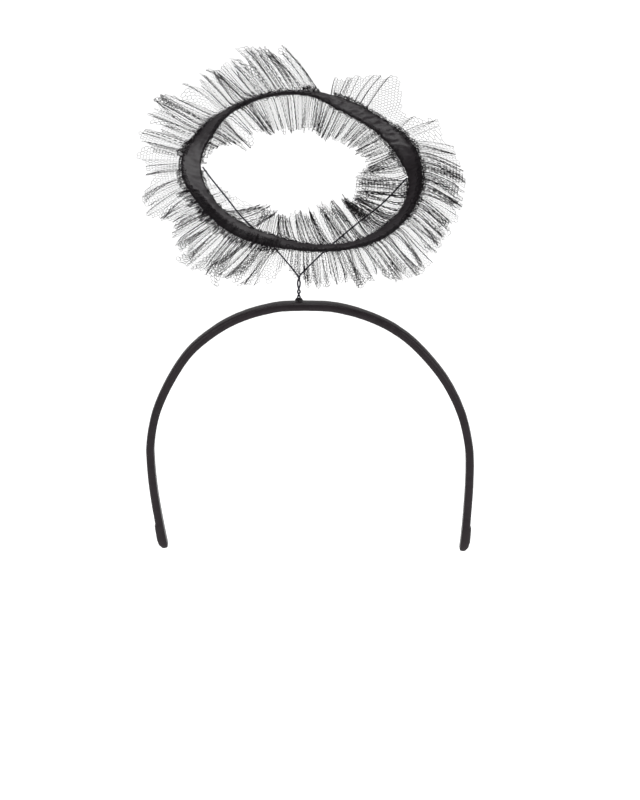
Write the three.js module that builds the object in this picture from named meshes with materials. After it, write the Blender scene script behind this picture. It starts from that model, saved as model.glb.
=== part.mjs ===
// A halo headband: a satin-covered band with two thin wires twisted into a stem, which hold a tilted satin ring with a
// gathered tulle ruffle on both sides of it. X runs across the head, Y from front to back and Z up, in millimetres.
// The origin is the underside of the band at its top.
import * as THREE from 'three';

// The band
const band_half_span = 78.5; // from the middle to the centre line, where the band is widest
const band_left_drop = 120.5; // from the top of the centre line to the left end
const band_right_drop = 122; // the same on the right
const band_width = 12; // front to back
const band_thickness = 4.1;
const band_step = 5.6; // between two sections of the band
const end_fold_length = 12; // the satin is folded over here
const end_fold_step = 0.5; // where the fold starts

// The stem and its wires
const stem_offset = -5.4; // the stem stands this far along X from the middle
const stem_length = 11.8; // from the foot of the wires to the fork
const wire_diameter = 0.8;
const wire_gap = 0.4; // between the two twisted wires
const wire_sides = 6;
const wire_steps = 96;
const root_diameter = 4;
const root_height = 1.4;
const root_sides = 16;
const root_clearance = 0.35; // between the bound root and the twisted wires
const seat_gap = 0.3; // between one piece and what carries it

// The halo's satin strip
const halo_radius = 54.2;
const halo_height = 68.2; // its centre above the origin
const halo_offset = -2.9; // its centre along X
const halo_pitch = 35.7; // degrees: the front is low
const halo_roll = 8.4; // degrees: the right side is low
const strip_width = 9.8;
const strip_thickness = 1.6;
const strip_sections = 72;

// The tulle ruffle
const tulle_half_width = 26; // from the gathered middle to the cut edge
const tulle_wall = 1;
const outer_folds = 42;
const inner_back_folds = 17;
const inner_front_folds = 15;
const outer_fold_depth = 2.4;
const inner_fold_depth = 1.9;
const gathered_share = 0.35; // of the fold's depth, where the tulle leaves the strip
const turn_share = 0.4; // of the reach, over which the tulle turns away from the strip's face
const outer_rows = 4; // along the tulle, from the strip to the cut edge
const inner_rows = 4;
const wire_room = 3; // degrees that the inner ruffle leaves free on each side of a wire
const seam_angle = 84; // degrees round the halo, where the ends of the tulle meet
const seam_gap = 4; // degrees between them at the strip

// drop: share of the drop on that side. left, right: shares of band_half_span.
const ARCH = [
  // drop, left, right
  [0.0, 0.044, -0.019],
  [0.004, 0.188, 0.125],
  [0.0133, 0.263, 0.207],
  [0.033, 0.376, 0.32],
  [0.067, 0.501, 0.451],
  [0.119, 0.627, 0.583],
  [0.191, 0.752, 0.705],
  [0.306, 0.87, 0.846],
  [0.439, 0.96, 0.946],
  [0.572, 0.998, 0.993],
  [0.638, 0.997, 1.0],
  [0.738, 0.984, 0.997],
  [0.838, 0.962, 0.987],
  [0.938, 0.934, 0.974],
  [1.0, 0.915, 0.962],
];

// across: share of half the band's width. out: share of half its thickness, positive away from the head.
const BAND_OUTLINE = [
  // across, out
  [-1, -0.5],
  [-0.93, -1],
  [0, -1],
  [0.93, -1],
  [1, -0.5],
  [1, 0.3],
  [0.88, 0.8],
  [0, 1],
  [-0.88, 0.8],
  [-1, 0.3],
];

// from: distance from the end as a share of end_fold_length. outer, inner, across: shares of the band's own half sizes.
const BAND_END = [
  // from, outer, inner, across
  [0, 0.1, 0.6, 0.6],
  [0.06, 0.55, 1, 0.82],
  [0.18, 1.15, 1, 0.96],
  [0.4, 1.4, 1, 1],
  [0.85, 1.3, 1, 1],
  [1, 1.22, 1, 1],
];

// height: share of stem_length above the wires' foot. turns: how far the pair has turned there.
const TWIST = [
  // height, turns
  [0, 1.8],
  [0.107, 1.5],
  [0.26, 1.25],
  [0.37, 1],
  [0.485, 0.75],
  [0.6, 0.62],
  [0.727, 0.5],
  [0.842, 0.36],
  [0.937, 0.25],
  [1, 0.2],
];

// out: share of the root's wall, from its bore. up: share of root_height.
const ROOT_OUTLINE = [
  // out, up
  [0, 0],
  [1, 0],
  [1, 0.3],
  [0.7, 0.85],
  [0.3, 1],
  [0, 1],
  [0, 0],
];

// along: share of the arm from the fork to the halo. left_bow, right_bow: how far it bows down and out, as shares of its
// length.
const ARM_BOW = [
  // along, left_bow, right_bow
  [0.12, -0.006, -0.008],
  [0.3, -0.004, -0.01],
  [0.56, 0.022, 0.002],
  [0.75, 0.014, 0.016],
  [0.9, 0.008, 0.008],
];
const left_arm_angle = 190; // degrees round the halo from its right side, where the wire is sewn on
const right_arm_angle = 12;

// angle: degrees round the halo from its right side, towards the back. radius: share of halo_radius.
// tilt: degrees by which the outer edge of the strip is turned up out of the halo's plane.
const STRIP = [
  // angle, radius, tilt
  [0, 1.006, 56],
  [15, 1.006, 56],
  [30, 0.997, 28],
  [45, 0.977, 0],
  [60, 0.97, -2],
  [75, 0.991, -5],
  [90, 1.029, -31],
  [105, 1.026, -41],
  [120, 1.005, -44],
  [135, 0.984, -46],
  [150, 0.971, -41],
  [165, 0.968, -33],
  [180, 1.006, -13],
  [195, 1.021, -4],
  [210, 1.014, 12],
  [225, 1.012, 13],
  [240, 1.012, 6],
  [255, 0.988, 10],
  [270, 0.982, 25],
  [285, 0.994, 32],
  [300, 1.007, 35],
  [315, 1.01, 35],
  [330, 1.003, 39],
  [345, 1.003, 49],
];

// across: share of half the strip's width. out: share of half its thickness.
const STRIP_OUTLINE = [
  // across, out
  [-1, -0.4],
  [-0.9, -1],
  [0.9, -1],
  [1, -0.4],
  [1, 0.4],
  [0.9, 1],
  [-0.9, 1],
  [-1, 0.4],
];

// angle: degrees round the halo. reach: share of tulle_half_width. lift: degrees out of the halo's plane, up and to the
// front. lean: degrees by which the cut edge is turned on round the halo.
const OUTER_RUFFLE = [
  // angle, reach, lift, lean
  [86, 0.5, 22, -1],
  [90, 0.98, 26, -1],
  [102, 1.0, 22, 1],
  [112, 0.98, 27, 1],
  [118, 1.04, 21, 2],
  [123, 0.84, 16, 1],
  [129, 0.95, 24, 0],
  [138, 0.97, 16, 2],
  [145, 0.9, 10, 1],
  [151, 1.1, 16, 0],
  [158, 1.14, 11, -2],
  [164, 0.86, 2, -1],
  [173, 0.94, 9, 0],
  [179, 0.78, 4, 1],
  [184, 0.92, 0, 1],
  [191, 0.66, -4, 0],
  [198, 0.7, 4, 1],
  [206, 0.88, -6, 2],
  [214, 0.97, -2, 0],
  [220, 0.74, 6, -1],
  [227, 0.94, -9, 0],
  [234, 1.16, -4, 1],
  [242, 1.1, -12, 1],
  [250, 1.1, -7, 0],
  [258, 1.06, -12, -1],
  [265, 0.74, -8, -1],
  [271, 0.36, -6, 0],
  [276, 0.42, -12, 1],
  [280, 0.86, -14, 2],
  [289, 0.87, -8, 1],
  [295, 0.96, -12, 0],
  [301, 0.76, -5, 1],
  [307, 1.1, -9, 1],
  [317, 1.05, -4, 0],
  [325, 0.98, -9, 0],
  [333, 0.88, -2, 1],
  [341, 0.9, -6, 1],
  [352, 0.87, 2, 0],
  [362, 0.8, -3, 0],
  [371, 0.68, 5, 1],
  [380, 0.72, 0, 1],
  [388, 0.82, 8, 0],
  [398, 0.86, 12, -1],
  [404, 0.42, 14, -1],
  [411, 0.5, 12, 0],
  [419, 0.88, 14, 1],
  [427, 1.06, 18, 1],
  [434, 0.62, 22, 2],
  [442, 0.55, 20, 2],
];

const INNER_BACK = [
  // angle, reach, lift, lean
  [15, 0.96, -6, 1],
  [21, 0.9, -2, 0],
  [27, 0.6, -10, 0],
  [38, 0.68, -9, 0],
  [50, 0.6, -15, 1],
  [61, 0.64, -12, 2],
  [73, 0.7, -20, 2],
  [84, 0.75, -17, 1],
  [96, 0.9, -21, 1],
  [107, 0.94, -17, 0],
  [120, 0.88, -22, 0],
  [133, 0.8, -12, 1],
  [144, 0.74, -16, 3],
  [154, 0.8, -8, 4],
  [165, 0.76, -11, 4],
  [174, 0.4, -5, 2],
  [185, 0.14, -3, 0],
];

const INNER_FRONT = [
  // angle, reach, lift, lean
  [191, 0.14, 0, 0],
  [203, 0.2, 4, 1],
  [212, 0.4, 6, 1],
  [219, 0.45, 3, 1],
  [228, 0.6, 9, 1],
  [238, 0.48, 6, 0],
  [248, 0.56, 11, 0],
  [262, 0.72, 7, 1],
  [272, 0.84, 12, 0],
  [282, 0.9, 8, 0],
  [292, 0.98, 12, 0],
  [302, 1.08, 6, -1],
  [315, 1.04, 9, 0],
  [328, 0.94, 2, 0],
  [340, 0.9, 5, 1],
  [352, 0.98, 0, 1],
  [361, 1.0, -4, 0],
  [369, 1.0, -2, 0],
];

// The share by which each fold in turn falls short of its reach
const TIP_TRIM = [0, 0.07, 0.02, 0.1, 0.04];
// The height of the sheet at the four sections of a fold, as shares of its depth
const FOLD_WAVE = [0, 1, 0, -1];

const satin = { color: 0x2b2628, roughness: 0.42, metalness: 0 };
const tulle = { color: 0x1b191b, roughness: 0.85, metalness: 0 };
const wire_paint = { color: 0x12121c, roughness: 0.35, metalness: 0.2 };

const radians = THREE.MathUtils.degToRad;
const full_turn = 360;
const crown_search = 2000; // points tried along the arch

// The value of a column of a table at a key, between two rows in proportion
function between(table, column, key) {
  const rows = table.length;
  if (key <= table[0][0]) return table[0][column];
  for (let i = 1; i < rows; i++) {
    const [low, high] = [table[i - 1], table[i]];
    if (key <= high[0]) {
      const share = (key - low[0]) / (high[0] - low[0]);
      return low[column] + share * (high[column] - low[column]);
    }
  }
  return table[rows - 1][column];
}

// The same for a table that goes round once, through a smooth curve
function around(table, column, angle) {
  const rows = table.length;
  const step = full_turn / rows;
  const place = (((angle % full_turn) + full_turn) % full_turn) / step;
  const at = Math.floor(place);
  const values = [-1, 0, 1, 2].map((k) => table[(at + k + rows) % rows][column]);
  const t = place - at;
  const [p, q, r, s] = values;
  const bend = 2 * p - 5 * q + 4 * r - s + t * (3 * q - p - 3 * r + s);
  return q + (t / 2) * (r - p + t * bend);
}

// A closed solid through sections with the same number of points. The ends are closed across each section, from its first
// half of points to its second half.
function loft(sections, is_ring) {
  const count = sections[0].length;
  const total = sections.length;
  const points = sections.flat();
  const faces = [];
  const quad = (a, b, c, d) => faces.push([a, b, c], [a, c, d]);
  for (let i = 0; i < (is_ring ? total : total - 1); i++) {
    const here = i * count;
    const next = ((i + 1) % total) * count;
    for (let k = 0; k < count; k++) {
      const side = (k + 1) % count;
      quad(here + k, next + k, next + side, here + side);
    }
  }
  if (!is_ring) {
    const end = (total - 1) * count;
    for (let k = 0; k < count / 2 - 1; k++) {
      quad(k, k + 1, count - 2 - k, count - 1 - k);
      quad(end + count - 1 - k, end + count - 2 - k, end + k + 1, end + k);
    }
  }
  const volume = faces.reduce((sum, [a, b, c]) => {
    const normal = new THREE.Vector3().crossVectors(points[b], points[c]);
    return sum + points[a].dot(normal);
  }, 0);
  const ordered = volume < 0 ? faces.map(([a, b, c]) => [a, c, b]) : faces;
  const geometry = new THREE.BufferGeometry().setFromPoints(points);
  geometry.setIndex(ordered.flat());
  geometry.computeVertexNormals();
  return geometry;
}

function piece(name, geometry, look) {
  const mesh = new THREE.Mesh(geometry, new THREE.MeshStandardMaterial(look));
  mesh.name = name;
  return mesh;
}

// The centre line of the band, from the left end over the top to the right end
function archCurve() {
  const top = band_thickness / 2;
  const onSide = (sign, column, drop) => (row) =>
    new THREE.Vector3(sign * row[column] * band_half_span, 0, top - row[0] * drop);
  const left = ARCH.map(onSide(-1, 1, band_left_drop)).reverse();
  const right = ARCH.map(onSide(1, 2, band_right_drop));
  return new THREE.CatmullRomCurve3([...left, ...right]);
}

function band(curve) {
  const length = curve.getLength();
  const folds = BAND_END.map((row) => row[0] * end_fold_length);
  const fold_edge = end_fold_length + end_fold_step;
  const middle = length - 2 * fold_edge;
  const steps = Math.round(middle / band_step);
  const places = [...folds];
  for (let i = 0; i <= steps; i++) places.push(fold_edge + (i * middle) / steps);
  places.push(...folds.map((from) => length - from).reverse());
  const sections = places.map((place) => {
    const share = place / length;
    const centre = curve.getPointAt(share);
    const along = curve.getTangentAt(share);
    const out = new THREE.Vector3(-along.z, 0, along.x);
    const from = Math.min(place, length - place) / end_fold_length;
    const isFold = from <= 1;
    const outer = isFold ? between(BAND_END, 1, from) : 1;
    const inner = isFold ? between(BAND_END, 2, from) : 1;
    const across = isFold ? between(BAND_END, 3, from) : 1;
    return BAND_OUTLINE.map(([side, height]) => {
      const rise = (height > 0 ? outer : inner) * height * (band_thickness / 2);
      const point = centre.clone().addScaledVector(out, rise);
      point.y += side * across * (band_width / 2);
      return point;
    });
  });
  return loft(sections, false);
}

// A point of the halo, in the halo's own frame: width and height are measured from the centre line of the strip, across
// its face and out of its face.
function stripFrame(angle) {
  const turn = radians(angle);
  const tilt = radians(around(STRIP, 2, angle));
  const outward = new THREE.Vector3(Math.cos(turn), Math.sin(turn), 0);
  const up = new THREE.Vector3(0, 0, 1);
  const centre = outward.clone().multiplyScalar(halo_radius * around(STRIP, 1, angle));
  const across = outward.clone().multiplyScalar(Math.cos(tilt)).addScaledVector(up, Math.sin(tilt));
  const face = outward.clone().multiplyScalar(-Math.sin(tilt)).addScaledVector(up, Math.cos(tilt));
  return { outward, up, centre, across, face, tilt };
}

function strip() {
  const sections = [];
  for (let i = 0; i < strip_sections; i++) {
    const { centre, across, face } = stripFrame((i * full_turn) / strip_sections);
    sections.push(
      STRIP_OUTLINE.map(([side, out]) =>
        centre
          .clone()
          .addScaledVector(across, (side * strip_width) / 2)
          .addScaledVector(face, (out * strip_thickness) / 2),
      ),
    );
  }
  return loft(sections, true);
}

// One side of the pleated tulle. side is 1 outside the strip and -1 inside it. The sheet leaves the strip's edge along its
// face, turns to the lift of its table, and its folds grow deeper towards the cut edge.
function ruffle(table, side, from, to, folds, fold_depth, rows) {
  const stations = folds * FOLD_WAVE.length;
  const spacing = (to - from) / stations;
  const sections = [];
  for (let i = 0; i <= stations; i++) {
    const angle = from + i * spacing;
    const wave = FOLD_WAVE[i % FOLD_WAVE.length];
    const trim = TIP_TRIM[Math.floor(i / FOLD_WAVE.length) % TIP_TRIM.length];
    const reach = tulle_half_width * between(table, 1, angle) * (1 - trim);
    const lift = radians(between(table, 2, angle));
    const lean = between(table, 3, angle);
    const own = stripFrame(angle);
    const start = side * own.tilt;
    const top = [];
    const bottom = [];
    let distance = strip_width / 2 + seat_gap;
    let flat = side * own.centre.length() + distance * Math.cos(start);
    let height = distance * side * Math.sin(own.tilt);
    const step = reach / rows;
    for (let k = 0; k <= rows; k++) {
      const share = k / rows;
      const turned = Math.min(1, share / turn_share);
      const direction = start + (lift - start) * turned;
      if (k > 0) {
        flat += step * Math.cos(direction);
        height += step * Math.sin(direction);
      }
      const turn = radians(angle + lean * share);
      const outward = new THREE.Vector3(Math.cos(turn), Math.sin(turn), 0);
      const depth = fold_depth * (gathered_share + (1 - gathered_share) * share);
      const apart = Math.abs(flat) * radians(spacing);
      const half_wall = (tulle_wall / 2) * Math.hypot(1, depth / apart);
      const at = (rise) =>
        outward
          .clone()
          .multiplyScalar(side * (flat - rise * Math.sin(direction)))
          .addScaledVector(own.up, height + rise * Math.cos(direction));
      top.push(at(depth * wave + half_wall));
      bottom.unshift(at(depth * wave - half_wall));
    }
    sections.push([...top, ...bottom]);
  }
  return loft(sections, false);
}

// One of the two wires: twisted with the other up to the fork, then bowed to the halo
function wire(phase, foot, target, bow_column, bow_side) {
  const twist_radius = (wire_diameter + wire_gap) / 2;
  const points = TWIST.map(([height, turns]) => {
    const turn = radians(full_turn * (turns + phase));
    return new THREE.Vector3(
      foot.x + twist_radius * Math.cos(turn),
      foot.y + twist_radius * Math.sin(turn),
      foot.z + height * stem_length,
    );
  });
  const fork = points[points.length - 1];
  const arm = target.clone().sub(fork);
  const down = new THREE.Vector3(arm.z, 0, -arm.x).normalize().multiplyScalar(bow_side * arm.length());
  for (const row of ARM_BOW) {
    points.push(fork.clone().addScaledVector(arm, row[0]).addScaledVector(down, row[bow_column]));
  }
  points.push(target);
  const outline = [];
  for (let i = 0; i < wire_sides; i++) {
    const turn = (i * 2 * Math.PI) / wire_sides;
    outline.push(new THREE.Vector2(Math.cos(turn), Math.sin(turn)).multiplyScalar(wire_diameter / 2));
  }
  const path = new THREE.CatmullRomCurve3(points);
  return new THREE.ExtrudeGeometry(new THREE.Shape(outline), { steps: wire_steps, extrudePath: path });
}

// The bound root, a low collar round the twisted wires
function root() {
  const bore = wire_diameter + wire_gap / 2 + root_clearance;
  const wall = root_diameter / 2 - bore;
  const profile = ROOT_OUTLINE.map(
    ([out, up]) => new THREE.Vector2(bore + out * wall, up * root_height),
  );
  const geometry = new THREE.LatheGeometry(profile, root_sides);
  geometry.rotateX(Math.PI / 2);
  return geometry;
}

const headband = new THREE.Group();
const arch = archCurve();
headband.add(piece('headband', band(arch), satin));

// The stem stands on the band, at the point of the arch that is nearest to its offset
const crown = arch
  .getPoints(crown_search)
  .reduce((a, b) => (Math.abs(b.x - stem_offset) < Math.abs(a.x - stem_offset) ? b : a));
const foot = new THREE.Vector3(stem_offset, 0, crown.z + band_thickness / 2 + seat_gap);
const bound_root = piece('stem_root', root(), satin);
bound_root.position.copy(foot);
headband.add(bound_root);

const halo = new THREE.Group();
halo.position.set(halo_offset, 0, halo_height);
halo.rotation.set(radians(halo_pitch), radians(halo_roll), 0, 'YXZ');
halo.updateMatrix();
halo.add(piece('halo_band', strip(), satin));
const seam_end = seam_angle + seam_gap / 2;
const seam_start = full_turn + seam_angle - seam_gap / 2;
const outerSide = ruffle(OUTER_RUFFLE, 1, seam_end, seam_start, outer_folds, outer_fold_depth, outer_rows);
halo.add(piece('outer_ruffle', outerSide, tulle));
const innerSide = (table, from, to, folds) =>
  ruffle(table, -1, from + wire_room, to - wire_room, folds, inner_fold_depth, inner_rows);
const back = innerSide(INNER_BACK, right_arm_angle, left_arm_angle, inner_back_folds);
halo.add(piece('inner_ruffle_back', back, tulle));
const front = innerSide(INNER_FRONT, left_arm_angle, full_turn + right_arm_angle, inner_front_folds);
halo.add(piece('inner_ruffle_front', front, tulle));
headband.add(halo);

// Each wire ends at the inner edge of the strip
function sewnPlace(angle) {
  const { centre, across } = stripFrame(angle);
  const inward = strip_width / 2 + seat_gap + wire_diameter / 2;
  return centre.addScaledVector(across, -inward).applyMatrix4(halo.matrix);
}
const to_left = sewnPlace(left_arm_angle);
const to_right = sewnPlace(right_arm_angle);
headband.add(piece('left_wire', wire(0.5, foot, to_left, 1, -1), wire_paint));
headband.add(piece('right_wire', wire(0, foot, to_right, 2, 1), wire_paint));

export default headband;
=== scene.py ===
"""A halo headband: two twisted wires on a satin-covered band hold a tilted satin ring with a tulle ruffle.

X runs across the head, Y from front to back and Z up, in metres. The origin is the underside of the band
at its top.
"""
from math import pi, radians

import bmesh
import bpy
import numpy as np
from bpy.props import FloatProperty, FloatVectorProperty, PointerProperty
from mathutils import Matrix, Vector, noise


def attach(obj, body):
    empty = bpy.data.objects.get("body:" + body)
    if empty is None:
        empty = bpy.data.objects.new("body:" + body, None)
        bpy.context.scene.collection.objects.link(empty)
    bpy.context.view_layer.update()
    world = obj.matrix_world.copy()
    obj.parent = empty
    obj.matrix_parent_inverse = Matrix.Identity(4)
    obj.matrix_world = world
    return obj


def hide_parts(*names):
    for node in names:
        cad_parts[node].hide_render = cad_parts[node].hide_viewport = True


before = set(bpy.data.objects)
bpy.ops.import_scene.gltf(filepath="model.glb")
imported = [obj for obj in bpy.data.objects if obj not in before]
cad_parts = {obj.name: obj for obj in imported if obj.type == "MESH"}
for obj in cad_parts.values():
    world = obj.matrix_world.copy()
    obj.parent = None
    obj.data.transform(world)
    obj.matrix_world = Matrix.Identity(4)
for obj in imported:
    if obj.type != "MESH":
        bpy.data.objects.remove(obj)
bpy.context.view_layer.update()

bl_info = {
    "name": "Halo Headband",
    "version": (1, 0, 0),
    "blender": (4, 2, 0),
    "location": "View3D > Sidebar > Halo",
    "description": "Models a satin headband that carries a tulle halo on two twisted wires",
    "category": "Add Mesh",
}

MM = 0.001

# Puckers and wrinkles of the satin, in metres of cloth from one to the next
BAND_PUCKER = 0.0045
BAND_FINE_PUCKER = 0.0021
RIBBON_WRINKLE = 0.006
RIBBON_SMALL_WRINKLE = 0.0034
RIBBON_FINE_WRINKLE = 0.0018
RIBBON_SLANT = 0.45  # how far they run on round the ring, from its middle to its edge, in ribbon widths

# How finely curves are drawn
CURVE_STEPS = 24  # steps between two given points of a curve
BAND_STEPS = 300  # sections of the band from one folded end to the other
RIBBON_STEP = 0.6  # degrees between two sections of the ribbon
WIRE_STEPS = 260  # sections of each wire
PLAN_STEPS = 2401  # places round the ring at which the cloth is measured

# The gathered tulle
TONGUE_GAP = 1.2  # degrees of the ribbon between two tongues
TURNED_AT_EDGE = 0.25  # share of its turn up or down that the tulle has made at the ribbon's edge
TURN_LENGTH = 0.25  # share of its reach over which it makes the rest
KNOT_SPREAD = 0.00004  # how far the net's knots lie out of its surface, in metres

# How single folds of the tulle differ from their neighbours
FOLD_LOG_MEAN = -0.08  # mean of the logarithm of their sizes
FOLD_LOG_SPREAD = 0.4  # spread of that logarithm
FOLD_LARGEST = 2.5  # the largest fold, as a share of the mean
FOLD_LIFT = 4  # spread of their lift, in degrees
FOLD_SWAY = 1.3  # spread of their way aside at the cut edge, in degrees
FOLD_CURVE = 3.0  # spread of their bend aside, in degrees
FOLD_COMB = 0.15  # spread of how far they lean to the front
CUT_EDGE = 1.06  # how far the longest folds go, as a share of the reach
CUT_UNEVEN = 0.36  # by how much the shortest ones fall short of that

# The heading, which is net bunched up along the ribbon. Its lengths are in metres.
HEADING_FOLD = 0.0035  # cloth in one fold
HEADING_ROLL = 0.0011  # how far out its roll reaches
HEADING_UNEVEN = 0.0008  # how much further its longest folds reach
HEADING_RISE = 0.001  # how high its roll is
HEADING_CRUMPLE = 0.00022  # how far its knots lie out of place
HEADING_LEAST = 1.2  # least fullness, as length of cloth for each length of ribbon

# The stage
VIEW_WIDTH = 0.3136  # metres across the picture where the camera looks
VIEW_DOWN = radians(10)
SENSOR_WIDTH = 36  # millimetres
AIM_OFFSET = 0.0049  # place along X that the camera looks at
FLOOR_HALF = 14  # half the floor's width
FLOOR_BACK = 8  # how far its middle is behind the headband
FLOOR_HEIGHT = -0.42

# The centre line of the band. drop: share of the drop on that side. left, right: shares of the half span.
ARCH = np.array([
    # drop, left, right
    [0, 0.044, -0.019],
    [0.004, 0.188, 0.125],
    [0.0133, 0.263, 0.207],
    [0.033, 0.376, 0.32],
    [0.067, 0.501, 0.451],
    [0.119, 0.627, 0.583],
    [0.191, 0.752, 0.705],
    [0.306, 0.87, 0.846],
    [0.439, 0.96, 0.946],
    [0.572, 0.998, 0.993],
    [0.638, 0.997, 1],
    [0.738, 0.984, 0.997],
    [0.838, 0.962, 0.987],
    [0.938, 0.934, 0.974],
    [1, 0.915, 0.962],
])

# The band's section. across: share of half its width. out: share of half its thickness, positive away from
# the head.
BAND_SECTION = np.array([
    # across, out
    [-0.99, -0.62],
    [-0.93, -0.95],
    [-0.8, -1],
    [-0.4, -1],
    [0, -1],
    [0.4, -1],
    [0.8, -1],
    [0.93, -0.95],
    [0.99, -0.62],
    [1, -0.15],
    [0.985, 0.35],
    [0.9, 0.75],
    [0.7, 0.9],
    [0.35, 0.98],
    [0, 1],
    [-0.35, 0.98],
    [-0.7, 0.9],
    [-0.9, 0.75],
    [-0.985, 0.35],
    [-1, -0.15],
])

# The folded end of the band. from: share of the fold's length. outer, inner, across: shares of the band's
# half sizes.
BAND_END = np.array([
    # from, outer, inner, across
    [0, 0.1, 0.6, 0.6],
    [0.02, 0.35, 0.85, 0.72],
    [0.06, 0.6, 1, 0.84],
    [0.18, 1.15, 1, 0.96],
    [0.4, 1.38, 1, 1],
    [0.85, 1.3, 1, 1],
    [0.97, 1.24, 1, 1],
    [1.02, 1, 1, 1],
])

# The twisted stem. height: share of the stem above the wires' foot. turns: how far the pair has turned
# there.
TWIST = np.array([
    # height, turns
    [0, 1.8],
    [0.107, 1.5],
    [0.26, 1.25],
    [0.37, 1],
    [0.485, 0.75],
    [0.6, 0.62],
    [0.727, 0.5],
    [0.842, 0.36],
    [0.937, 0.25],
    [1, 0.2],
])

# The two arms above the fork. along: share of the arm. left_bow, right_bow: how far it bows down and out.
ARM_BOW = np.array([
    # along, left_bow, right_bow
    [0.12, -0.006, -0.008],
    [0.3, -0.004, -0.01],
    [0.56, 0.022, 0.002],
    [0.75, 0.014, 0.016],
    [0.9, 0.008, 0.008],
])

# The ring's satin ribbon. angle: degrees round the ring from its right side, towards the back. radius: share
# of the ring's radius. tilt: degrees by which the outer edge is turned up. wrinkles: share of their height.
RIBBON = np.array([
    # angle, radius, tilt, wrinkles
    [0, 1.006, 56, 1],
    [15, 1.006, 56, 1.2],
    [30, 0.997, 28, 1.8],
    [45, 0.977, 0, 2.2],
    [60, 0.97, -2, 2.2],
    [75, 0.991, -5, 1.8],
    [90, 1.029, -31, 1],
    [105, 1.026, -41, 0.6],
    [120, 1.005, -44, 0.6],
    [135, 0.984, -46, 0.6],
    [150, 0.971, -41, 0.6],
    [165, 0.968, -33, 0.8],
    [180, 1.006, -13, 0.8],
    [195, 1.021, -4, 0.8],
    [210, 1.014, 12, 1],
    [225, 1.012, 13, 1],
    [240, 1.012, 6, 1],
    [255, 0.988, 10, 0.8],
    [270, 0.982, 25, 0.6],
    [285, 0.994, 32, 0.6],
    [300, 1.007, 35, 0.6],
    [315, 1.01, 35, 0.6],
    [330, 1.003, 39, 0.8],
    [345, 1.003, 49, 1],
])

# One face of the ribbon's section. across: share of half its width. out: share of half its thickness.
RIBBON_FACE = np.array([
    # across, out
    [-1, 0],
    [-0.97, -0.65],
    [-0.88, -1],
    [-0.72, -1],
    [-0.54, -1],
    [-0.36, -1],
    [-0.18, -1],
    [0, -1],
    [0.18, -1],
    [0.36, -1],
    [0.54, -1],
    [0.72, -1],
    [0.88, -1],
    [0.97, -0.65],
])
RIBBON_SECTION = np.concatenate([RIBBON_FACE, -RIBBON_FACE])

# The tulle outside and inside the ring. reach: share of the tulle's half width. lift: degrees upwards out of
# the ring's plane.
OUTER = np.array([
    # angle, reach, lift
    [86, 0.5, 22],
    [90, 0.98, 26],
    [102, 1, 22],
    [112, 0.98, 27],
    [118, 1.04, 21],
    [123, 0.84, 16],
    [129, 0.95, 24],
    [138, 0.97, 16],
    [145, 0.9, 10],
    [151, 1.1, 16],
    [158, 1.14, 11],
    [164, 0.86, 2],
    [173, 0.94, 9],
    [179, 0.78, 4],
    [184, 0.92, 0],
    [191, 0.66, -4],
    [198, 0.7, 4],
    [206, 0.88, -6],
    [214, 0.97, -2],
    [220, 0.74, 6],
    [227, 0.94, -9],
    [234, 1.16, -4],
    [242, 1.1, -12],
    [250, 1.1, -7],
    [258, 1.06, -12],
    [262, 0.95, -9],
    [266, 0.5, -8],
    [270, 0.4, -6],
    [273, 0.78, -10],
    [277, 0.86, -13],
    [280, 0.86, -14],
    [289, 0.87, -8],
    [295, 0.96, -12],
    [301, 0.76, -5],
    [307, 1.1, -9],
    [317, 1.05, -4],
    [325, 0.98, -9],
    [333, 0.88, -2],
    [341, 0.9, -6],
    [352, 0.87, 2],
    [362, 0.8, -3],
    [371, 0.68, 5],
    [380, 0.72, 0],
    [388, 0.82, 8],
    [398, 0.86, 12],
    [404, 0.42, 14],
    [411, 0.5, 12],
    [419, 0.88, 14],
    [427, 1.06, 18],
    [434, 0.62, 22],
    [442, 0.55, 20],
])

INNER_BACK = np.array([
    # angle, reach, lift
    [15, 0.96, -6],
    [21, 0.9, -2],
    [27, 0.6, -10],
    [38, 0.68, -9],
    [50, 0.6, -15],
    [61, 0.64, -12],
    [73, 0.7, -20],
    [84, 0.75, -17],
    [96, 0.9, -21],
    [107, 0.94, -17],
    [120, 0.88, -22],
    [133, 0.8, -12],
    [144, 0.74, -16],
    [154, 0.8, -8],
    [165, 0.76, -11],
    [174, 0.4, -5],
    [185, 0.14, -3],
])

INNER_FRONT = np.array([
    # angle, reach, lift
    [191, 0.14, 0],
    [203, 0.2, 4],
    [212, 0.4, 6],
    [219, 0.45, 3],
    [228, 0.6, 9],
    [238, 0.48, 6],
    [248, 0.56, 11],
    [262, 0.72, 7],
    [272, 0.84, 12],
    [282, 0.9, 8],
    [292, 0.98, 12],
    [302, 1.08, 6],
    [315, 1.04, 9],
    [328, 0.94, 2],
    [340, 0.9, 5],
    [352, 0.98, 0],
    [361, 1, -4],
    [369, 1, -2],
])

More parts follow.
